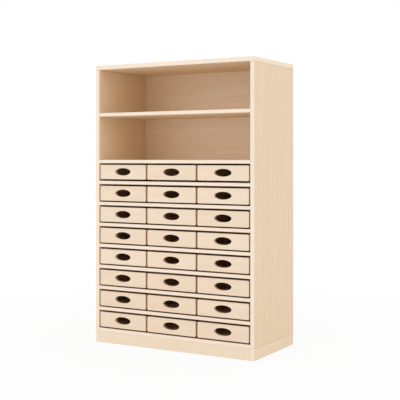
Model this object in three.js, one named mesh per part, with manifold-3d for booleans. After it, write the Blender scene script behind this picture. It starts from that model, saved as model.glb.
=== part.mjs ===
// Classroom storage unit: two open compartments over eight rows of three drawers, on a plinth.
// Millimetres, +Z up, +Y to the back. The origin is on the floor, under the middle of the unit.
import * as THREE from "three";
import { mergeVertices } from "three/addons/utils/BufferGeometryUtils.js";
import Module from "manifold-3d";

const wasm = await Module();
wasm.setup();

// Carcass sizes
const width = 796;
const depth = 388;
const side_thickness = 18;
const top_thickness = 18;
const shelf_thickness = 15;
const back_thickness = 8;
const back_lap = 9;
const plinth_height = 50;
const plinth_thickness = 18;
const row_count = 8;
const column_count = 3;
const row_opening = 79.25;
const compartment_count = 2;
const compartment_height = 195;
const seam = 0.3;

// Dowels that join the boards, and the thin uprights that part the drawers of one row
const dowel_diameter = 8;
const dowel_sides = 8;
const dowel_cover = 7;
const dowel_inset = 45;
const plinth_dowel_inset = 90;
const plinth_dowel_reach = 20;
const divider_thickness = 6;
const divider_setback = 60;
const groove_depth = 3;

// Drawer sizes
const front_thickness = 15;
const front_gap = 9.6;
const front_end_reveal = 6.8;
const front_top_reveal = 7.5;
const front_bottom_reveal = 6;
const front_corner_radius = 4;
const front_corner_steps = 2;
const front_edge_radius = 1;
const finger_hole_width = 82;
const finger_hole_height = 32.5;
const finger_hole_rise = 1.5;
const finger_hole_steps = 10;
const box_wall = 12;
const box_side_gap = 2.5;
const box_rim_drop = 8;
const box_housing = 4;
const run_setback = 75;
const bottom_thickness = 4;
const bottom_lift = 12;
const running_gap = 0.3;

// Planes and levels that follow from the sizes
const front_y = -depth / 2;
const rear_y = depth / 2;
const back_face_y = rear_y - back_thickness;
const half_width = width / 2;
const inner_half = half_width - side_thickness;
const lane_width = (2 * (inner_half - front_end_reveal) + front_gap) / column_count;
const row_pitch = row_opening + shelf_thickness;
const compartment_pitch = compartment_height + shelf_thickness;
const deck_z = plinth_height + row_count * row_pitch;
const top_z = deck_z + compartment_count * compartment_pitch;
const height = top_z + top_thickness;
const shelf_dowel_ys = [front_y + dowel_inset, back_face_y - dowel_inset];
const shelf_dowel_reach = side_thickness - dowel_cover;
const plinth_dowel_ys = [front_y + plinth_dowel_inset, back_face_y - plinth_dowel_inset];
const top_dowel_ys = [front_y + dowel_inset, 0, back_face_y - dowel_inset];
const top_dowel_reach = top_thickness - dowel_cover;
const rail_dowel_reach = plinth_thickness - dowel_cover;
const side_middle_x = half_width - side_thickness / 2;

const board_finish = { color: 0xe6d1b6, roughness: 0.45, metalness: 0 };
const back_finish = { color: 0xdcc3a4, roughness: 0.55, metalness: 0 };
const divider_finish = { color: 0xb08a5e, roughness: 0.7, metalness: 0 };
const drawer_finish = { color: 0xefdbc3, roughness: 0.45, metalness: 0 };

const unit = new THREE.Group();

// Adds one solid to the unit as a named mesh with its own material.
function add_piece(name, solid, finish, place = [0, 0, 0]) {
  const mesh = new THREE.Mesh(geometry_of(solid), new THREE.MeshStandardMaterial(finish));
  mesh.name = name;
  mesh.position.set(...place);
  unit.add(mesh);
}

// A closed three.js geometry as a solid that can be joined and cut.
function solid_of(geometry) {
  const bare = geometry.clone();
  bare.deleteAttribute("normal");
  bare.deleteAttribute("uv");
  const merged = mergeVertices(bare);
  const vertProperties = merged.attributes.position.array;
  const triVerts = new Uint32Array(merged.index.array);
  return new wasm.Manifold(new wasm.Mesh({ numProp: 3, vertProperties, triVerts }));
}

// A solid's surface as a three.js geometry.
function geometry_of(solid) {
  const { vertProperties, triVerts } = solid.getMesh();
  const geometry = new THREE.BufferGeometry();
  geometry.setAttribute("position", new THREE.BufferAttribute(vertProperties, 3));
  geometry.setIndex(new THREE.BufferAttribute(triVerts, 1));
  geometry.computeVertexNormals();
  return geometry;
}

// A square-edged block between two limits on each axis.
function block([x0, x1], [y0, y1], [z0, z1]) {
  const box = new THREE.BoxGeometry(x1 - x0, y1 - y0, z1 - z0);
  box.translate((x0 + x1) / 2, (y0 + y1) / 2, (z0 + z1) / 2);
  return solid_of(box);
}

// A peg of the dowel's section, `reach` long on each side of a point, along X or Z.
// With some clearance it is the hole that the peg goes into.
function peg(axis, [x, y, z], reach, clearance = 0) {
  const radius = dowel_diameter / 2 + clearance;
  const cylinder = new THREE.CylinderGeometry(radius, radius, 2 * reach, dowel_sides);
  if (axis === "x") {
    cylinder.rotateZ(Math.PI / 2);
  } else {
    cylinder.rotateX(Math.PI / 2);
  }
  cylinder.translate(x, y, z);
  return solid_of(cylinder);
}

// Places along X of the upright dividers of one row.
function divider_xs() {
  const xs = [];
  for (let column = 1; column < column_count; column += 1) {
    xs.push((column - column_count / 2) * lane_width);
  }
  return xs;
}

// Level of the board face on which a row of drawers runs. Row 1 is the top row.
function row_floor(row) {
  return plinth_height + shelf_thickness + (row_count - row) * row_pitch;
}

// Undersides of all the boards that lie between the sides, lowest first.
function shelf_levels() {
  const levels = [];
  for (let row = row_count; row >= 1; row -= 1) {
    levels.push(row_floor(row) - shelf_thickness);
  }
  for (let shelf = 0; shelf < compartment_count; shelf += 1) {
    levels.push(deck_z + shelf * compartment_pitch);
  }
  return levels;
}

// Plinth: two side boards of full depth, with a front and a back rail doweled between them.
function plinth_side(side) {
  const outer = side * half_width;
  const inner = side * (half_width - plinth_thickness);
  const xs = [Math.min(outer, inner), Math.max(outer, inner)];
  const top = plinth_height - seam;
  let board = block(xs, [front_y, rear_y], [0, top]);
  for (const y of plinth_dowel_ys) {
    board = board.add(peg("z", [side * side_middle_x, y, top], plinth_dowel_reach - seam));
  }
  for (const y of [front_y + plinth_thickness / 2, rear_y - plinth_thickness / 2]) {
    board = board.subtract(peg("x", [inner, y, plinth_height / 2], rail_dowel_reach, seam));
  }
  return board;
}

function plinth_rail(y0) {
  const half = half_width - plinth_thickness - seam;
  const ys = [y0, y0 + plinth_thickness];
  let rail = block([-half, half], ys, [0, plinth_height - seam]);
  for (const side of [-1, 1]) {
    const end = [side * half, y0 + plinth_thickness / 2, plinth_height / 2];
    rail = rail.add(peg("x", end, rail_dowel_reach - seam));
  }
  return rail;
}

add_piece("plinth_left", plinth_side(-1), board_finish);
add_piece("plinth_right", plinth_side(1), board_finish);
add_piece("plinth_front", plinth_rail(front_y), board_finish);
add_piece("plinth_back", plinth_rail(rear_y - plinth_thickness), board_finish);

// Side panel: stands on the plinth and is bored for every dowel. It is rebated behind for the back.
function side_panel(side) {
  const outer = side * half_width;
  const inner = side * inner_half;
  const lapped = side * (inner_half + back_lap);
  const xs = [Math.min(outer, inner), Math.max(outer, inner)];
  let panel = block(xs, [front_y, rear_y], [plinth_height, top_z - seam]);
  const rebate_xs = [Math.min(inner, lapped), Math.max(inner, lapped)];
  const rebate_ys = [back_face_y - seam, rear_y];
  panel = panel.subtract(block(rebate_xs, rebate_ys, [plinth_height, top_z]));
  for (const level of shelf_levels()) {
    for (const y of shelf_dowel_ys) {
      const mouth = [inner, y, level + shelf_thickness / 2];
      panel = panel.subtract(peg("x", mouth, shelf_dowel_reach, seam));
    }
  }
  for (const y of plinth_dowel_ys) {
    const mouth = [side * side_middle_x, y, plinth_height];
    panel = panel.subtract(peg("z", mouth, plinth_dowel_reach, seam));
  }
  for (const y of top_dowel_ys) {
    const end = [side * side_middle_x, y, top_z - seam];
    panel = panel.add(peg("z", end, top_dowel_reach - seam));
  }
  return panel;
}

add_piece("left_side_panel", side_panel(-1), board_finish);
add_piece("right_side_panel", side_panel(1), board_finish);

// Boards that lie between the sides, with two dowels in each end. A board over or under a row
// of drawers is grooved from its rear edge for the dividers, and the grooves stop short of its front.
function lying_board(underside, drawers_above, drawers_below) {
  const half = inner_half - seam;
  const rear = back_face_y - seam;
  const upper = underside + shelf_thickness;
  let board = block([-half, half], [front_y, rear], [underside, upper]);
  for (const side of [-1, 1]) {
    for (const y of shelf_dowel_ys) {
      const end = [side * half, y, underside + shelf_thickness / 2];
      board = board.add(peg("x", end, shelf_dowel_reach - seam));
    }
  }
  for (const x of divider_xs()) {
    const half_groove = divider_thickness / 2 + seam;
    const xs = [x - half_groove, x + half_groove];
    const ys = [front_y + divider_setback - seam, rear_y];
    if (drawers_above) {
      board = board.subtract(block(xs, ys, [upper - groove_depth, upper + groove_depth]));
    }
    if (drawers_below) {
      board = board.subtract(block(xs, ys, [underside - groove_depth, underside + groove_depth]));
    }
  }
  return board;
}

add_piece("bottom_panel", lying_board(plinth_height, true, false), board_finish);
for (let row = 1; row < row_count; row += 1) {
  const shelf = lying_board(row_floor(row) - shelf_thickness, true, true);
  add_piece(`drawer_shelf_${row}`, shelf, board_finish);
}
add_piece("drawer_deck", lying_board(deck_z, false, true), board_finish);
for (let shelf = 1; shelf < compartment_count; shelf += 1) {
  const underside = deck_z + shelf * compartment_pitch;
  add_piece(`open_shelf_${shelf}`, lying_board(underside, false, false), board_finish);
}

// Dividers: thin uprights let into the grooves of the boards over and under them.
for (let row = 1; row <= row_count; row += 1) {
  const tongue = groove_depth - seam;
  const zs = [row_floor(row) - tongue, row_floor(row) + row_opening + tongue];
  const ys = [front_y + divider_setback, back_face_y - seam];
  divider_xs().forEach((x, index) => {
    const xs = [x - divider_thickness / 2, x + divider_thickness / 2];
    add_piece(`divider_r${row}_${index + 1}`, block(xs, ys, zs), divider_finish);
  });
}

// Back panel: lies in the rebates of the sides and the top, behind all the lying boards.
const back_half = inner_half + back_lap - seam;
const back_zs = [plinth_height, top_z + back_lap - seam];
add_piece("back_panel", block([-back_half, back_half], [back_face_y, rear_y], back_zs), back_finish);

// Top panel: covers the sides, takes their dowels, and is rebated behind for the back.
function top_panel() {
  let panel = block([-half_width, half_width], [front_y, rear_y], [top_z, height]);
  const rebate_half = inner_half + back_lap;
  const rebate_ys = [back_face_y - seam, rear_y];
  const rebate_zs = [top_z, top_z + back_lap];
  panel = panel.subtract(block([-rebate_half, rebate_half], rebate_ys, rebate_zs));
  for (const side of [-1, 1]) {
    for (const y of top_dowel_ys) {
      const mouth = [side * side_middle_x, y, top_z];
      panel = panel.subtract(peg("z", mouth, top_dowel_reach, seam));
    }
  }
  return panel;
}

add_piece("top_panel", top_panel(), board_finish);

// Outline of a rectangle about the origin with rounded corners, each an arc of a few steps.
function rounded_rectangle(half_x, half_y, radius, steps) {
  const points = [];
  for (let corner = 0; corner < 4; corner += 1) {
    const start = (corner * Math.PI) / 2;
    const middle = start + Math.PI / 4;
    const centre_x = Math.sign(Math.cos(middle)) * (half_x - radius);
    const centre_y = Math.sign(Math.sin(middle)) * (half_y - radius);
    for (let step = 0; step <= steps; step += 1) {
      const angle = start + ((step / steps) * Math.PI) / 2;
      const x = centre_x + radius * Math.cos(angle);
      const y = centre_y + radius * Math.sin(angle);
      points.push(new THREE.Vector2(x, y));
    }
  }
  return points;
}

// Drawer front: a board with rounded corners and an oval finger hole, eased on all its edges.
// Its front face is at y = 0, and it reaches from one given level to the other.
function drawer_front(front_width, [low_z, high_z]) {
  const corners = rounded_rectangle(
    front_width / 2,
    (high_z - low_z) / 2,
    front_corner_radius,
    front_corner_steps,
  );
  const outline = new THREE.Shape(corners);
  const hole = new THREE.Path();
  const half_hole = [finger_hole_width / 2, finger_hole_height / 2];
  hole.absellipse(0, finger_hole_rise, ...half_hole, 0, 2 * Math.PI, true);
  outline.holes.push(hole);
  const board = new THREE.ExtrudeGeometry(outline, {
    depth: front_thickness - 2 * front_edge_radius,
    bevelThickness: front_edge_radius,
    bevelSize: front_edge_radius,
    bevelOffset: -front_edge_radius,
    bevelSegments: 1,
    curveSegments: finger_hole_steps,
  });
  board.rotateX(Math.PI / 2);
  board.translate(0, front_thickness - front_edge_radius, (low_z + high_z) / 2);
  return solid_of(board);
}

// Drawer: its front, two sides, a back and a bottom, glued together. The sides run on the board under
// them, from a step behind the front to the rear. They and the back are housed in the front and in each
// other, and the bottom is grooved in.
function drawer() {
  const front_width = lane_width - front_gap;
  const front_zs = [front_bottom_reveal, row_opening - front_top_reveal];
  const box_half = (lane_width - divider_thickness) / 2 - box_side_gap;
  const length = depth - back_thickness - running_gap;
  const rim = front_zs[1] - box_rim_drop;
  const wall_zs = [running_gap, rim];
  const seat_y = front_thickness - box_housing;
  let body = drawer_front(front_width, front_zs);
  for (const side of [-1, 1]) {
    const outer = side * box_half;
    const inner = side * (box_half - box_wall);
    const xs = [Math.min(outer, inner), Math.max(outer, inner)];
    body = body.add(block(xs, [seat_y, length], [front_zs[0], rim]));
    body = body.add(block(xs, [run_setback, length], wall_zs));
  }
  const housed_half = box_half - box_wall + box_housing;
  body = body.add(block([-housed_half, housed_half], [length - box_wall, length], wall_zs));
  const floor_ys = [seat_y, length - box_wall + box_housing];
  const floor_zs = [bottom_lift, bottom_lift + bottom_thickness];
  return body.add(block([-housed_half, housed_half], floor_ys, floor_zs));
}

const drawer_solid = drawer();
for (let row = 1; row <= row_count; row += 1) {
  for (let column = 1; column <= column_count; column += 1) {
    const lane_middle = (column - (column_count + 1) / 2) * lane_width;
    const place = [lane_middle, front_y, row_floor(row)];
    add_piece(`drawer_r${row}_c${column}`, drawer_solid, drawer_finish, place);
  }
}

export default unit;
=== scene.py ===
"""Classroom storage unit: the boards, edgings and drawers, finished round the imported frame."""

import itertools
import math

import bpy
import numpy as np
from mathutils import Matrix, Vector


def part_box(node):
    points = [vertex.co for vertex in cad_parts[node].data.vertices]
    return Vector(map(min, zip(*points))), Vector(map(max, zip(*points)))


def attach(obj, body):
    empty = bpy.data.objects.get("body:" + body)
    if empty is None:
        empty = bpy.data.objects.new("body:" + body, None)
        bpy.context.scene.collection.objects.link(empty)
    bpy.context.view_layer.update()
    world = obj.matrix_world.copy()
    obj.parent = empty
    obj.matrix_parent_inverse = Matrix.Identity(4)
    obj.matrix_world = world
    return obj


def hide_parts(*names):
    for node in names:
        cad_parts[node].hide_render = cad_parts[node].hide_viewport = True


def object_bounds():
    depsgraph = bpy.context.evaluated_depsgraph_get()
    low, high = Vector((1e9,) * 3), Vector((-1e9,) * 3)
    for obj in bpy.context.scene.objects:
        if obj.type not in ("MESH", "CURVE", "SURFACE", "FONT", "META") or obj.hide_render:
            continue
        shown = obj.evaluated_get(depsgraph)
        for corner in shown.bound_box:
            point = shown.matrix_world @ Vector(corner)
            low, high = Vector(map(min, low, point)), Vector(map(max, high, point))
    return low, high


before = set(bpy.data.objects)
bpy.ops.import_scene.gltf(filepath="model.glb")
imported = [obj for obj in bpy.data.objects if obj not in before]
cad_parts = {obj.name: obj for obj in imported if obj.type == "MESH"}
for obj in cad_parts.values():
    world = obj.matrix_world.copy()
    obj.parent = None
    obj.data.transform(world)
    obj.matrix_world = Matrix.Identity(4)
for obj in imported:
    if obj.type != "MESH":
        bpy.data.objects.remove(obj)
cad_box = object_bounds()

# Plinth: a low frame of four birch-faced boards, doweled together under the unit.
# Its rails stand between two side boards, and a thin edging strip covers the front ends of these.
# Its colours are paler than those of the sides, a painted light for the dimmer lamplight near the floor,
# which is a fit to the photograph under these lamps.

board_ease = 0.0010
edging_ease = 0.0006
edging_depth = 0.002
joint_gap = 0.0003
arc_steps = 4
relief_depth = 0.0003
along_x, along_y, along_z = 0, 1, 2
front_y = cad_box[0].y
rear_y = cad_box[1].y
core_front = front_y + edging_depth
grain_shift = 4.0
shift_ratios = np.array((0.618, 0.755, 0.570))
piece_numbers = itertools.count(1)


def node_box(node):
    """The two opposite corners of a node's box, as arrays."""
    return [np.array(corner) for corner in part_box(node)]


def nodes_named(prefix):
    """The frame's nodes whose names start alike, in order."""
    return sorted(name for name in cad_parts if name.startswith(prefix))


def rounded_outline(outline, radius):
    """Each right-angled corner becomes base + radius * swing. At an outer corner swing runs on a quarter
    circle from one edge's outward normal to the next, and at an inner corner it is the two normals' sum."""
    corners = np.asarray(outline, float)
    leaving = np.roll(corners, -1, axis=0) - corners
    leaving /= np.linalg.norm(leaving, axis=1, keepdims=True)
    normal_out = np.stack((leaving[:, 1], -leaving[:, 0]), axis=1)
    normal_in = np.roll(normal_out, 1, axis=0)
    turn = normal_in[:, 0] * normal_out[:, 1] - normal_in[:, 1] * normal_out[:, 0]
    quarter = np.linspace(0, np.pi / 2, arc_steps + 1)[None, :, None]
    arcs = np.cos(quarter) * normal_in[:, None] + np.sin(quarter) * normal_out[:, None]
    both = np.repeat((normal_in + normal_out)[:, None], arc_steps + 1, axis=1)
    swing = np.where(turn[:, None, None] > 0, arcs, both)
    corner_of = np.repeat(np.arange(len(corners)), arc_steps + 1)
    first = np.arange(len(corner_of)) % (arc_steps + 1) == 0
    kept = first | (turn[corner_of] > 0)
    base = corners - radius * (normal_in + normal_out)
    return base, corner_of[kept], swing.reshape(-1, 2)[kept]


def eased_prism(outline, low, high, along, radius):
    """A board with eased edges: a rounded outline carried from low to high along one axis.
    Near each end the outline draws in on a quarter circle: section = base + radius * cos(rise) * swing,
    height = end -/+ radius * (1 - sin(rise)). A flat face closes each end."""
    base, corner_of, swing = rounded_outline(outline, radius)
    rise = np.linspace(0, np.pi / 2, arc_steps + 1)[:-1]
    rises = np.concatenate((-rise[::-1], rise))
    heights = np.where(np.arange(2 * arc_steps) < arc_steps, low + radius, high - radius)
    heights = heights + radius * np.sin(rises)
    section = base[corner_of][None] + radius * np.cos(rises)[:, None, None] * swing[None]
    rings = np.concatenate((section, np.broadcast_to(heights[:, None, None], section.shape[:2] + (1,))), 2)
    facing = swing / np.linalg.norm(swing, axis=1, keepdims=True)
    ring_normals = np.concatenate(
        (np.cos(rises)[:, None, None] * facing[None],
         np.broadcast_to(np.sin(rises)[:, None, None], section.shape[:2] + (1,))), 2)
    count, columns = len(base), len(corner_of)
    first_cap = np.column_stack((base, np.full(count, low)))
    last_cap = np.column_stack((base, np.full(count, high)))
    points = np.concatenate((first_cap, rings.reshape(-1, 3), last_cap))
    up = np.array((0.0, 0.0, 1.0))
    normals = np.concatenate(
        (np.tile(-up, (count, 1)), ring_normals.reshape(-1, 3), np.tile(up, (count, 1))))
    rows = count + np.arange(2 * arc_steps * columns).reshape(2 * arc_steps, columns)
    last_start = count + rows.size
    rows = np.vstack((corner_of, rows, last_start + corner_of))
    after = np.roll(rows, -1, axis=1)
    quads = np.stack((rows[:-1], after[:-1], after[1:], rows[1:]), axis=-1).reshape(-1, 4)
    sides = [list(dict.fromkeys(quad)) for quad in quads.tolist()]
    faces = [side for side in sides if len(side) > 2]
    faces.append(list(range(count))[::-1])
    faces.append(list(range(last_start, last_start + count)))
    order = np.argsort([(along + 1) % 3, (along + 2) % 3, along])
    return points[:, order], normals[:, order], faces


def eased_board(low, high, along, radius):
    """An eased prism on a rectangle, between two opposite corners of a box."""
    a, b = (along + 1) % 3, (along + 2) % 3
    outline = ((low[a], low[b]), (high[a], low[b]), (high[a], high[b]), (low[a], high[b]))
    return eased_prism(outline, low[along], high[along], along, radius)


def make_piece(name, shape, grain_axes, material, body, stands_for=()):
    """One object from a shape's points, normals and faces, riding on a body. Its grain attribute holds
    each point as (along, across, through) the board, shifted by an amount of the piece's own, and its
    face attribute is 1 on the broad faces and 0 on the edges."""
    points, normals, faces = shape
    mesh = bpy.data.meshes.new(name)
    mesh.from_pydata(points.tolist(), [], faces)
    mesh.shade_smooth()
    mesh.normals_split_custom_set_from_vertices(normals.tolist())
    along, through = grain_axes
    axes = [along, 3 - along - through, through]
    shift = grain_shift * ((next(piece_numbers) * shift_ratios) % 1.0)
    middle = (points.min(axis=0) + points.max(axis=0)) / 2
    grain = (points - middle)[:, axes] + shift * np.array((1.0, 1.0, 0.0))
    stored = mesh.attributes.new("grain", "FLOAT_VECTOR", "POINT")
    stored.data.foreach_set("vector", grain.astype(np.float32).ravel())
    stored = mesh.attributes.new("face", "FLOAT", "POINT")
    stored.data.foreach_set("value", np.abs(normals[:, through]).astype(np.float32))
    mesh.materials.append(material)
    piece = bpy.data.objects.new(name, mesh)
    bpy.context.scene.collection.objects.link(piece)
    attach(piece, body)
    if stands_for:
        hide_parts(*stands_for)


def add_node(tree, kind, inputs=None, **settings):
    """A node with its settings, whose inputs take a plain value or a link from another socket."""
    made = tree.nodes.new(kind)
    for key, value in settings.items():
        setattr(made, key, value)
    for key, value in (inputs or {}).items():
        if isinstance(value, bpy.types.NodeSocket):
            tree.links.new(value, made.inputs[key])
        else:
            made.inputs[key].default_value = value
    return made


def add_math(tree, operation, first, second=0.0):
    """One arithmetic step on two numbers or sockets."""
    return add_node(tree, "ShaderNodeMath", {0: first, 1: second}, operation=operation).outputs[0]


def add_ramp(tree, value, start, end, low=0.0, high=1.0):
    """A straight ramp: low where the value is at start, high where it is at end, and level beyond."""
    limits = {"Value": value, "From Min": start, "From Max": end, "To Min": low, "To Max": high}
    return add_node(tree, "ShaderNodeMapRange", limits).outputs[0]


def mix_colours(tree, share, first, second, blend_type="MIX"):
    """A mix of two colours. On a colour Mix node these are inputs 6 and 7, and the result is output 2."""
    settings = {"data_type": "RGBA", "blend_type": blend_type}
    return add_node(tree, "ShaderNodeMix", {0: share, 6: first, 7: second}, **settings).outputs[2]


def stretched_noise(tree, grain, stretch, detail):
    """Noise whose cells are drawn out by different amounts along, across and through the board."""
    place = add_node(tree, "ShaderNodeVectorMath", {0: grain, 1: stretch}, operation="MULTIPLY")
    cells = {"Vector": place.outputs[0], "Scale": 1.0, "Detail": detail}
    return add_node(tree, "ShaderNodeTexNoise", cells).outputs["Fac"]


def make_birch_grain():
    """Birch figure: soft growth lines are the sine of a long slow noise, with fine fibres and short pores
    over them, and one board is a little lighter or darker than the next."""
    group = bpy.data.node_groups.new("birch_grain", "ShaderNodeTree")
    for name, kind in (("Grain", "Vector"), ("Pale", "Color"), ("Deep", "Color"), ("Figure", "Float")):
        group.interface.new_socket(name, in_out="INPUT", socket_type="NodeSocket" + kind)
    for name, kind in (("Colour", "Color"), ("Gloss Break", "Float"), ("Height", "Float")):
        group.interface.new_socket(name, in_out="OUTPUT", socket_type="NodeSocket" + kind)
    enter = add_node(group, "NodeGroupInput")
    grain = enter.outputs["Grain"]
    slow = stretched_noise(group, grain, (0.7, 6.0, 6.0), 2.0)
    patch_field = stretched_noise(group, grain, (1.1, 8.0, 3.0), 1.0)
    bands = stretched_noise(group, grain, (2.0, 58.0, 58.0), 2.0)
    streaks = stretched_noise(group, grain, (5.0, 150.0, 150.0), 3.0)
    fibres = stretched_noise(group, grain, (16.0, 650.0, 650.0), 2.0)
    tone = stretched_noise(group, grain, (0.4, 0.4, 0.4), 0.0)
    pore_field = stretched_noise(group, grain, (55.0, 1300.0, 1300.0), 1.0)
    line_waves = 62.0
    line_share = 0.16
    pore_share = 0.30
    fibre_height = 0.6
    mean_shade = 0.46
    middle = 0.5
    lines = add_math(group, "SINE", add_math(group, "MULTIPLY", slow, line_waves))
    patches = add_ramp(group, patch_field, start=0.42, end=0.66)
    pores = add_ramp(group, pore_field, start=0.60, end=0.72)
    shade = add_math(group, "MULTIPLY", add_math(group, "MULTIPLY", lines, patches), line_share)
    shade = add_math(group, "ADD", shade, mean_shade)
    for field, share in ((bands, 0.9), (streaks, 1.0), (fibres, 0.8), (tone, 0.9)):
        swing = add_math(group, "MULTIPLY", add_math(group, "SUBTRACT", field, middle), share)
        shade = add_math(group, "ADD", shade, swing)
    shade = add_math(group, "ADD", shade, add_math(group, "MULTIPLY", pores, pore_share))
    centred = add_math(group, "SUBTRACT", shade, middle)
    weight = add_math(group, "ADD", add_math(group, "MULTIPLY", centred, enter.outputs["Figure"]), middle)
    colour = mix_colours(group, weight, enter.outputs["Pale"], enter.outputs["Deep"])
    height = add_math(group, "SUBTRACT", add_math(group, "MULTIPLY", fibres, fibre_height), pores)
    leave = add_node(group, "NodeGroupOutput")
    group.links.new(colour, leave.inputs["Colour"])
    group.links.new(fibres, leave.inputs["Gloss Break"])
    group.links.new(height, leave.inputs["Height"])
    return group


birch_grain = make_birch_grain()


def birch_finish(name, pale, deep, figure=0.80, roughness=0.48, bump=0.12, sheen=0.28,
                 edge_painted_shade=(1.0, 1.0, 1.0)):
    """A birch-faced board under a satin lacquer, in two colours that the figure mixes.
    The fibres break its gloss a little, and its edges may be darkened with a painted shade."""
    material = bpy.data.materials.new(name)
    material.use_nodes = True
    tree = material.node_tree
    surface = tree.nodes["Principled BSDF"]
    place = add_node(tree, "ShaderNodeAttribute", attribute_name="grain")
    grain = add_node(tree, "ShaderNodeGroup", node_tree=birch_grain)
    tree.links.new(place.outputs["Vector"], grain.inputs["Grain"])
    grain.inputs["Pale"].default_value = (*pale, 1.0)
    grain.inputs["Deep"].default_value = (*deep, 1.0)
    grain.inputs["Figure"].default_value = figure
    face = add_node(tree, "ShaderNodeAttribute", attribute_name="face")
    # On the edges the colour is multiplied by a painted shade colour, which stands in for the shade in the
    # gaps between parts.
    edge = add_ramp(tree, face.outputs["Fac"], start=0.85, end=0.25)
    painted_shade_colour = mix_colours(tree, edge, grain.outputs["Colour"], (*edge_painted_shade, 1.0), "MULTIPLY")
    tree.links.new(painted_shade_colour, surface.inputs["Base Color"])
    surface.inputs["Specular IOR Level"].default_value = sheen
    smoothest, roughest = roughness - 0.08, roughness + 0.12
    spread = add_ramp(tree, grain.outputs["Gloss Break"], 0.0, 1.0, smoothest, roughest)
    tree.links.new(spread, surface.inputs["Roughness"])
    relief = {"Height": grain.outputs["Height"], "Strength": bump, "Distance": relief_depth}
    tree.links.new(add_node(tree, "ShaderNodeBump", relief).outputs[0], surface.inputs["Normal"])
    return material


edging_face = birch_finish("birch_edging", (0.908, 0.787, 0.652), (0.854, 0.706, 0.548),
                           figure=0.70, roughness=0.42, bump=0.06)
# The plinth boards and rails are paler than the sides: a painted light for the dimmer light near the floor.
plinth_face_painted_light = birch_finish("plinth_birch_painted_light", (0.935, 0.752, 0.556), (0.868, 0.661, 0.447), roughness=0.46)
rail_face_painted_light = birch_finish("rail_birch_painted_light", (0.885, 0.742, 0.582), (0.821, 0.652, 0.471), roughness=0.46)

plinth_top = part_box("plinth_front")[1].z
for node in ("plinth_left", "plinth_right"):
    low, high = node_box(node)
    high[2] = plinth_top
    core_low = low + np.array((0.0, edging_depth, 0.0))
    make_piece(node + "_core", eased_board(core_low, high, along_y, board_ease), (along_y, along_x),
               plinth_face_painted_light, "carcass", [node])
    strip_high = np.array((high[0], core_front, high[2]))
    make_piece(node + "_edging", eased_board(low, strip_high, along_z, edging_ease), (along_z, along_y),
               edging_face, "carcass")

rail_ends = (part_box("plinth_left")[1].x + joint_gap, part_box("plinth_right")[0].x - joint_gap)
for node in ("plinth_front", "plinth_back"):
    low, high = node_box(node)
    low[0], high[0] = rail_ends
    make_piece(node + "_rail", eased_board(low, high, along_x, board_ease), (along_x, along_y),
               rail_face_painted_light, "carcass", [node])

# Side panels: upright birch-faced boards that stand on the plinth and carry every shelf on dowels.
# Their grain runs upright, their front edges carry edging, and a rebate behind takes the back panel.
# The left one's colour is a little warmer, a painted warm shade for the light bounced round the
# compartments, which is a fit to the photograph under these lamps.

back_low, back_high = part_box("back_panel")
side_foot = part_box("bottom_panel")[0].z
side_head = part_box("top_panel")[0].z - joint_gap
rebate_y = back_low.y - joint_gap

# The left panel is warmer than the right one: a painted warm shade for the light bounced inside the
# compartments.
warm_side_painted_shade = birch_finish("birch_painted_warm_shade", (0.896, 0.684, 0.462), (0.804, 0.562, 0.335))
carcass_face = birch_finish("carcass_birch", (0.900, 0.704, 0.500), (0.805, 0.584, 0.374))
for node, side, face in (("left_side_panel", -1, warm_side_painted_shade), ("right_side_panel", 1, carcass_face)):
    low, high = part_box(node)
    outer_x, inner_x = (low.x, high.x) if side < 0 else (high.x, low.x)
    lap_x = (back_low.x if side < 0 else back_high.x) + side * joint_gap
    outline = [(inner_x, core_front), (outer_x, core_front), (outer_x, rear_y),
               (lap_x, rear_y), (lap_x, rebate_y), (inner_x, rebate_y)]
    outline = outline if side > 0 else outline[::-1]
    make_piece(node + "_core", eased_prism(outline, side_foot, side_head, along_z, board_ease),
               (along_z, along_x), face, "carcass", [node])
    strip_low = (low.x, front_y, side_foot)
    strip_high = (high.x, core_front, side_head)
    make_piece(node + "_edging", eased_board(strip_low, strip_high, along_z, edging_ease),
               (along_z, along_y), edging_face, "carcass")

# Lying boards: the bottom, the shelves between the drawer rows, the deck over them and the open shelf.
# Each is a birch-faced board butted between the sides on hidden dowels, with edging along its front.
# The faces among the drawers are raw board in a deep brown, partly the raw board's own colour and partly a
# painted shade for the gaps round the drawers.

shelf_face = birch_finish("shelf_birch", (0.940, 0.748, 0.532), (0.848, 0.626, 0.402))
# Deep brown for the boards among the drawers: raw board colour and a painted shade for the gaps round the
# drawers.
raw_face_painted_shade = birch_finish("raw_board_painted_shade", (0.590, 0.315, 0.148), (0.490, 0.245, 0.106),
                        figure=0.85, roughness=0.70, bump=0.16, sheen=0.05)
shelf_ends = (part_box("left_side_panel")[1].x + joint_gap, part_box("right_side_panel")[0].x - joint_gap)
drawer_reveal = 0.001


def make_fronted_board(node, face, reveal=0.0):
    """A lying board whose front edge carries an edging strip. It runs from side to side,
    and the strip may start a little above the board's lower face."""
    low, high = node_box(node)
    low[0], high[0] = shelf_ends
    core_low = np.array((low[0], core_front, low[2]))
    make_piece(node + "_core", eased_board(core_low, high, along_x, board_ease), (along_x, along_z),
               face, "carcass", [node])
    strip_low = low + np.array((0.0, 0.0, reveal))
    strip_high = np.array((high[0], core_front, high[2]))
    make_piece(node + "_edging", eased_board(strip_low, strip_high, along_x, edging_ease),
               (along_x, along_y), edging_face, "carcass")


make_fronted_board("bottom_panel", raw_face_painted_shade)
for node in nodes_named("drawer_shelf_"):
    make_fronted_board(node, raw_face_painted_shade, drawer_reveal)
make_fronted_board("drawer_deck", shelf_face, drawer_reveal)
for node in nodes_named("open_shelf_"):
    make_fronted_board(node, shelf_face)

# Dividers: thin uprights of brown fibreboard between the drawers of a row, slid into grooves from behind.
# They stay plain pressed board, without lacquer.

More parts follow.
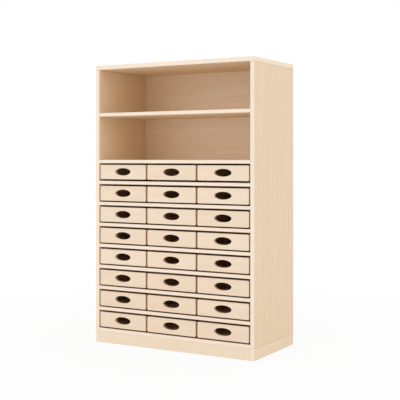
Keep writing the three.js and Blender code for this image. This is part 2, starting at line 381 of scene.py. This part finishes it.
fibre_colours = ((0.0, (0.235, 0.140, 0.072, 1.0)), (1.0, (0.360, 0.232, 0.128, 1.0)))
fibreboard = bpy.data.materials.new("brown_fibreboard")
fibreboard.use_nodes = True
tree = fibreboard.node_tree
place = add_node(tree, "ShaderNodeTexCoord")
speckle = {"Vector": place.outputs["Object"], "Scale": 900.0, "Detail": 4.0}
mottle = add_node(tree, "ShaderNodeTexNoise", speckle)
blend = add_node(tree, "ShaderNodeValToRGB", {"Fac": mottle.outputs["Fac"]})
for step, (spot, colour) in zip(blend.color_ramp.elements, fibre_colours):
    step.position = spot
    step.color = colour
relief = {"Height": mottle.outputs["Fac"], "Strength": 0.2, "Distance": relief_depth}
surface = tree.nodes["Principled BSDF"]
tree.links.new(blend.outputs["Color"], surface.inputs["Base Color"])
tree.links.new(add_node(tree, "ShaderNodeBump", relief).outputs[0], surface.inputs["Normal"])
surface.inputs["Roughness"].default_value = 0.75
surface.inputs["Specular IOR Level"].default_value = 0.08
for node in nodes_named("divider_"):
    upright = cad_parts[node]
    upright.data.materials.clear()
    upright.data.materials.append(fibreboard)

# Back panel: one thin birch-faced board, laid in the rebates of the sides and the top.
# Its grain runs level, and it closes the open compartments from behind.

back_face = birch_finish("back_birch", (0.873, 0.684, 0.485), (0.776, 0.560, 0.357),
                         figure=0.85, roughness=0.34, bump=0.06, sheen=0.65)
make_piece("back_panel_board", eased_board(back_low, back_high, along_x, board_ease),
           (along_x, along_y), back_face, "carcass", ["back_panel"])

# Top panel: one birch-faced board that runs over both sides, doweled on from above.
# Edging covers its front and both ends, and a rebate under its rear edge takes the back panel.
# The end strips are paler than the other edging, a painted light on the unit's ends, which is a fit to the
# photograph too.

seam_ease = 0.0010
sliver_ease = 0.0001
# Paler end strips: a painted light on the ends of the top.
end_edging_painted_light = birch_finish("birch_end_edging_painted_light", (0.965, 0.820, 0.640), (0.935, 0.765, 0.565),
                        figure=0.70, roughness=0.42, bump=0.06)

low, high = node_box("top_panel")
core_low = low + np.array((edging_depth, edging_depth, 0.0))
core_high = high - np.array((edging_depth, 0.0, 0.0))
rebate_z = back_high.z + joint_gap
outline = ((core_low[1], low[2]), (rebate_y, low[2]), (rebate_y, rebate_z), (rear_y, rebate_z),
           (rear_y, high[2]), (core_low[1], high[2]))
make_piece("top_panel_core", eased_prism(outline, core_low[0], core_high[0], along_x, board_ease),
           (along_x, along_z), shelf_face, "carcass", ["top_panel"])
rebate_ends = (back_low.x - joint_gap, back_high.x + joint_gap)
for word, start, end in (("left", core_low[0], rebate_ends[0]), ("right", rebate_ends[1], core_high[0])):
    stop_low = np.array((start, rebate_y, low[2]))
    stop_high = np.array((end, rear_y, rebate_z))
    make_piece(f"top_panel_{word}_rebate_stop", eased_board(stop_low, stop_high, along_x, sliver_ease),
               (along_x, along_z), shelf_face, "carcass")
strip_high = np.array((high[0], core_front, high[2]))
make_piece("top_panel_front_edging", eased_board(low, strip_high, along_x, seam_ease),
           (along_x, along_y), edging_face, "carcass")
for word, start in (("left", low[0]), ("right", core_high[0])):
    strip_low = np.array((start, core_front, low[2]))
    strip_high = np.array((start + edging_depth, rear_y, high[2]))
    make_piece(f"top_panel_{word}_edging", eased_board(strip_low, strip_high, along_y, seam_ease),
               (along_y, along_x), end_edging_painted_light, "carcass")

# Drawers: a lacquered birch front with rounded corners and an oval finger hole, glued to a light box.
# The box sides and back are plywood, and their lower edges run straight on the shelf below.
# The fronts of the top row end a little higher than the others, as in the photograph.

front_thickness = 0.015
front_lift = 0.0057
top_row_lift = 0.0077
front_corner = 0.004
front_ease = 0.0008
hole_half_width = 0.041
hole_half_height = 0.01625
hole_rise = 0.0015
box_half_width = 0.1205
run_setback = 0.060
wall = 0.012
wall_ease = 0.001
rim_height = 0.06345
box_inner = box_half_width - wall
floor_lift = 0.0117
floor_thickness = 0.004
floor_ease = 0.0002
hole_steps = 72
corner_steps = 6


def ring_angles(half_x, half_z):
    """Polar angles round the hole: even steps on the ellipse, and finer ones at the front's corners."""
    even = np.linspace(0, 2 * np.pi, hole_steps, endpoint=False)
    on_oval = np.arctan2(hole_half_height * np.sin(even), hole_half_width * np.cos(even))
    sweep = np.linspace(0, np.pi / 2, corner_steps + 1)
    corner_x = half_x - front_corner + front_corner * np.cos(sweep)
    corner_z = half_z - front_corner + front_corner * np.sin(sweep)
    quarter = np.arctan2(corner_z, corner_x)
    on_corners = np.concatenate((quarter, np.pi - quarter, quarter - np.pi, -quarter))
    return np.unique(np.round(np.concatenate((on_oval, on_corners)), 6))


def outer_edge(angles, half_x, half_z):
    """Where a ray from the middle meets the rounded rectangle: a straight edge, or a corner's circle."""
    ray = np.stack((np.cos(angles), np.sin(angles)), axis=1)
    size = np.array((half_x, half_z))
    reach = size / np.maximum(np.abs(ray), 1e-9)
    straight = ray * reach.min(axis=1, keepdims=True)
    flat = np.where(reach[:, :1] < reach[:, 1:], np.array((1.0, 0.0)), np.array((0.0, 1.0))) * np.sign(ray)
    centre = np.sign(ray) * (size - front_corner)
    inside = (centre * ray).sum(axis=1)
    spare = front_corner**2 - (centre**2).sum(axis=1) + inside**2
    arc = ray * (inside + np.sqrt(np.maximum(spare, 0.0)))[:, None]
    cornered = (np.abs(straight) > size - front_corner).all(axis=1, keepdims=True)
    return np.where(cornered, arc, straight), np.where(cornered, (arc - centre) / front_corner, flat)


def oval_edge(angles):
    """Where a ray from the hole's middle meets the oval, and the direction from there into the hole.
    The hole's middle lies a little above the front's."""
    ray = np.stack((np.cos(angles), np.sin(angles)), axis=1)
    axes = np.array((hole_half_width, hole_half_height))
    points = ray / np.sqrt(((ray / axes) ** 2).sum(axis=1, keepdims=True))
    inward = -points / axes**2
    lifted = points + np.array((0.0, hole_rise))
    return lifted, inward / np.linalg.norm(inward, axis=1, keepdims=True)


def finger_hole_front(low, high):
    """A front as a closed ring: round the hole by angle, and round the board's section by rise.
    An eased edge is edge - ease * (1 - cos(rise)) * outward, at a depth of ease * (1 - sin(rise))."""
    middle = (low + high) / 2
    half_x, half_z = (high[0] - low[0]) / 2, (high[2] - low[2]) / 2
    angles = ring_angles(half_x, half_z)
    outer, outward = outer_edge(angles, half_x, half_z)
    oval, inward = oval_edge(angles)
    rise = np.linspace(0, np.pi / 2, arc_steps + 1)
    rows = []
    for edge, way, rises, front in ((outer, outward, rise, True), (oval, inward, rise[::-1], True),
                                    (oval, inward, rise, False), (outer, outward, rise[::-1], False)):
        drawn = edge[:, None] - front_ease * (1 - np.cos(rises))[None, :, None] * way[:, None]
        sunk = front_ease * (1 - np.sin(rises))
        depth = low[1] + sunk if front else high[1] - sunk
        lean = -np.sin(rises) if front else np.sin(rises)
        facing = np.cos(rises)[None, :, None] * way[:, None]
        level = np.broadcast_to(depth[None, :], drawn.shape[:2])
        tilt = np.broadcast_to(lean[None, :], drawn.shape[:2])
        rows.append((np.stack((drawn[..., 0] + middle[0], level, drawn[..., 1] + middle[2]), axis=-1),
                     np.stack((facing[..., 0], tilt, facing[..., 1]), axis=-1)))
    points = np.concatenate([row[0] for row in rows], axis=1)
    normals = np.concatenate([row[1] for row in rows], axis=1)
    grid = np.arange(points.shape[0] * points.shape[1]).reshape(points.shape[:2])
    next_ray = np.roll(grid, -1, axis=0)
    quads = np.stack((grid, next_ray, np.roll(next_ray, -1, axis=1), np.roll(grid, -1, axis=1)), axis=-1)
    return points.reshape(-1, 3), normals.reshape(-1, 3), quads.reshape(-1, 4).tolist()


def show_plies(material, pitch, dark):
    """Darker layers on the edges of a plywood board: a wave of the depth through it, hidden on its faces."""
    tree = material.node_tree
    place = tree.nodes["Attribute"].outputs["Vector"]
    through = add_node(tree, "ShaderNodeSeparateXYZ", {0: place}).outputs["Z"]
    wave = add_math(tree, "SINE", add_math(tree, "MULTIPLY", through, 2 * math.pi / pitch))
    layer = add_ramp(tree, wave, start=-0.2, end=0.5, high=0.6)
    face = add_node(tree, "ShaderNodeAttribute", attribute_name="face")
    edge = add_ramp(tree, face.outputs["Fac"], start=0.9, end=0.4)
    colour = tree.nodes["Principled BSDF"].inputs["Base Color"]
    plain = colour.links[0].from_socket
    share = add_math(tree, "MULTIPLY", layer, edge)
    tree.links.new(mix_colours(tree, share, plain, (*dark, 1.0)), colour)


# The fronts' edges carry a painted brown shade for the shade in the gaps round the drawers.
front_face = birch_finish("pale_birch", (0.857, 0.705, 0.546), (0.789, 0.613, 0.438), roughness=0.46,
                          edge_painted_shade=(0.96, 0.82, 0.68))
box_face = birch_finish("drawer_box_birch", (0.925, 0.725, 0.530), (0.820, 0.602, 0.404),
                        roughness=0.55, bump=0.14, sheen=0.08)
show_plies(box_face, pitch=0.0027, dark=(0.470, 0.310, 0.175))

for node in nodes_named("drawer_r"):
    low, high = node_box(node)
    middle_x = (low[0] + high[0]) / 2
    lift = top_row_lift if node.startswith("drawer_r1_") else front_lift
    front_low = low + np.array((0.0, 0.0, lift))
    front_high = np.array((high[0], low[1] + front_thickness, high[2]))
    make_piece(node + "_front", finger_hole_front(front_low, front_high), (along_x, along_y),
               front_face, node, [node])
    box_front, rim = low[1] + front_thickness, low[2] + rim_height
    for word, side in (("left", -1), ("right", 1)):
        xs = sorted((middle_x + side * box_half_width, middle_x + side * box_inner))
        outline = ((box_front, front_low[2]), (box_front + run_setback, front_low[2]),
                   (box_front + run_setback, low[2]), (high[1], low[2]), (high[1], rim), (box_front, rim))
        make_piece(f"{node}_{word}_side", eased_prism(outline, xs[0], xs[1], along_x, wall_ease),
                   (along_y, along_x), box_face, node)
    back_start = high[1] - wall
    back_end_low = (middle_x - box_inner, back_start, low[2])
    back_end_high = (middle_x + box_inner, high[1], rim)
    make_piece(node + "_back", eased_board(back_end_low, back_end_high, along_x, wall_ease),
               (along_x, along_y), box_face, node)
    floor_z = low[2] + floor_lift
    floor_low = (middle_x - box_inner, box_front, floor_z)
    floor_high = (middle_x + box_inner, back_start, floor_z + floor_thickness)
    make_piece(node + "_floor", eased_board(floor_low, floor_high, along_x, floor_ease),
               (along_x, along_z), box_face, node)

# Studio: a pale floor that keeps the unit's soft shadow, a white surround and broad soft lamps.
# The camera is level, and its view is shifted down, as in the photograph. Its focal length and the
# row of the horizon are in pixels of a square picture.

scene = bpy.context.scene
scene.view_settings.view_transform = "Standard"

floor_half = 30.0
floor_mesh = bpy.data.meshes.new("studio_floor")
floor_corners = [(-floor_half, -floor_half, 0), (floor_half, -floor_half, 0), (floor_half, floor_half, 0),
                 (-floor_half, floor_half, 0)]
floor_mesh.from_pydata(floor_corners, [], [(0, 1, 2, 3)])
floor = bpy.data.objects.new("studio_floor", floor_mesh)
scene.collection.objects.link(floor)


def white_to_camera(tree):
    """A mask that is 1 for rays from the camera, and for those that gloss or glass sends on."""
    rays = add_node(tree, "ShaderNodeLightPath")
    seen = add_math(tree, "MAXIMUM", rays.outputs["Is Camera Ray"], rays.outputs["Is Glossy Ray"])
    return add_math(tree, "MAXIMUM", seen, rays.outputs["Is Transmission Ray"])


matte_white = (0.92, 0.92, 0.92, 1.0)
pure_white = (1.0, 1.0, 1.0, 1.0)
near_white = 0.89
fade_start = 0.6
fade_end = 2.0
floor_white = bpy.data.materials.new("floor_white")
floor_white.use_nodes = True
tree = floor_white.node_tree
tree.nodes.remove(tree.nodes["Principled BSDF"])
matte = add_node(tree, "ShaderNodeBsdfDiffuse", {"Color": matte_white})
white = add_node(tree, "ShaderNodeEmission", {"Color": pure_white, "Strength": 1.0})
place = add_node(tree, "ShaderNodeTexCoord")
far = add_node(tree, "ShaderNodeVectorMath", {0: place.outputs["Object"]}, operation="LENGTH")
share = add_ramp(tree, far.outputs["Value"], fade_start, fade_end, low=near_white)
seen = add_math(tree, "MULTIPLY", share, white_to_camera(tree))
mixed = add_node(tree, "ShaderNodeMixShader", {0: seen, 1: matte.outputs[0], 2: white.outputs[0]})
tree.links.new(mixed.outputs[0], tree.nodes["Material Output"].inputs["Surface"])
floor_mesh.materials.append(floor_white)

sky_light = 0.60
world = bpy.data.worlds.new("white_studio")
scene.world = world
world.use_nodes = True
tree = world.node_tree
backdrop = tree.nodes["Background"]
backdrop.inputs["Color"].default_value = pure_white
gain = add_math(tree, "MULTIPLY", white_to_camera(tree), 1.0 - sky_light)
tree.links.new(add_math(tree, "ADD", gain, sky_light), backdrop.inputs["Strength"])

cool = (0.94, 1.0, 1.08)
plain = (0.99, 1.0, 1.01)
aim = (0.0, 0.0, 0.62)
lamps = (
    ("front_softbox", (-0.6, -4.9, 1.85), (4.5, 3.4), 58.5, plain),
    ("low_softbox", (-0.3, -2.2, 0.25), (3.2, 0.4), 4.5, cool),
    ("left_softbox", (-3.6, -3.0, 1.8), (2.4, 2.4), 16.0, plain),
    ("right_softbox", (4.2, -1.0, 1.9), (2.4, 2.4), 44.0, cool),
    ("overhead_softbox", (0.0, 0.9, 3.6), (2.4, 1.6), 18.0, plain),
)
for name, place, (wide, tall), watts, colour in lamps:
    lamp = bpy.data.lights.new(name, "AREA")
    lamp.shape = "RECTANGLE"
    lamp.size = wide
    lamp.size_y = tall
    lamp.energy = watts
    lamp.color = colour
    stand = bpy.data.objects.new(name, lamp)
    scene.collection.objects.link(stand)
    stand.location = place
    heading = math.atan2(aim[1] - place[1], aim[0] - place[0])
    drop = math.atan2(place[2] - aim[2], math.hypot(aim[0] - place[0], aim[1] - place[1]))
    stand.rotation_euler = (math.pi / 2 - drop, 0.0, heading - math.pi / 2)
    stand.visible_camera = False

picture_side = 400
focal_pixels = 894
horizon_row = 157.95
camera_place = (2.0249, -3.4528, 0.8275)
camera_turn = math.radians(30)
camera = bpy.data.cameras.new("camera")
camera.sensor_width = 36.0
camera.lens = camera.sensor_width * focal_pixels / picture_side
camera.shift_y = (horizon_row - picture_side / 2) / picture_side
viewer = bpy.data.objects.new("camera", camera)
scene.collection.objects.link(viewer)
viewer.location = camera_place
viewer.rotation_euler = (math.pi / 2, 0.0, camera_turn)
scene.camera = viewer
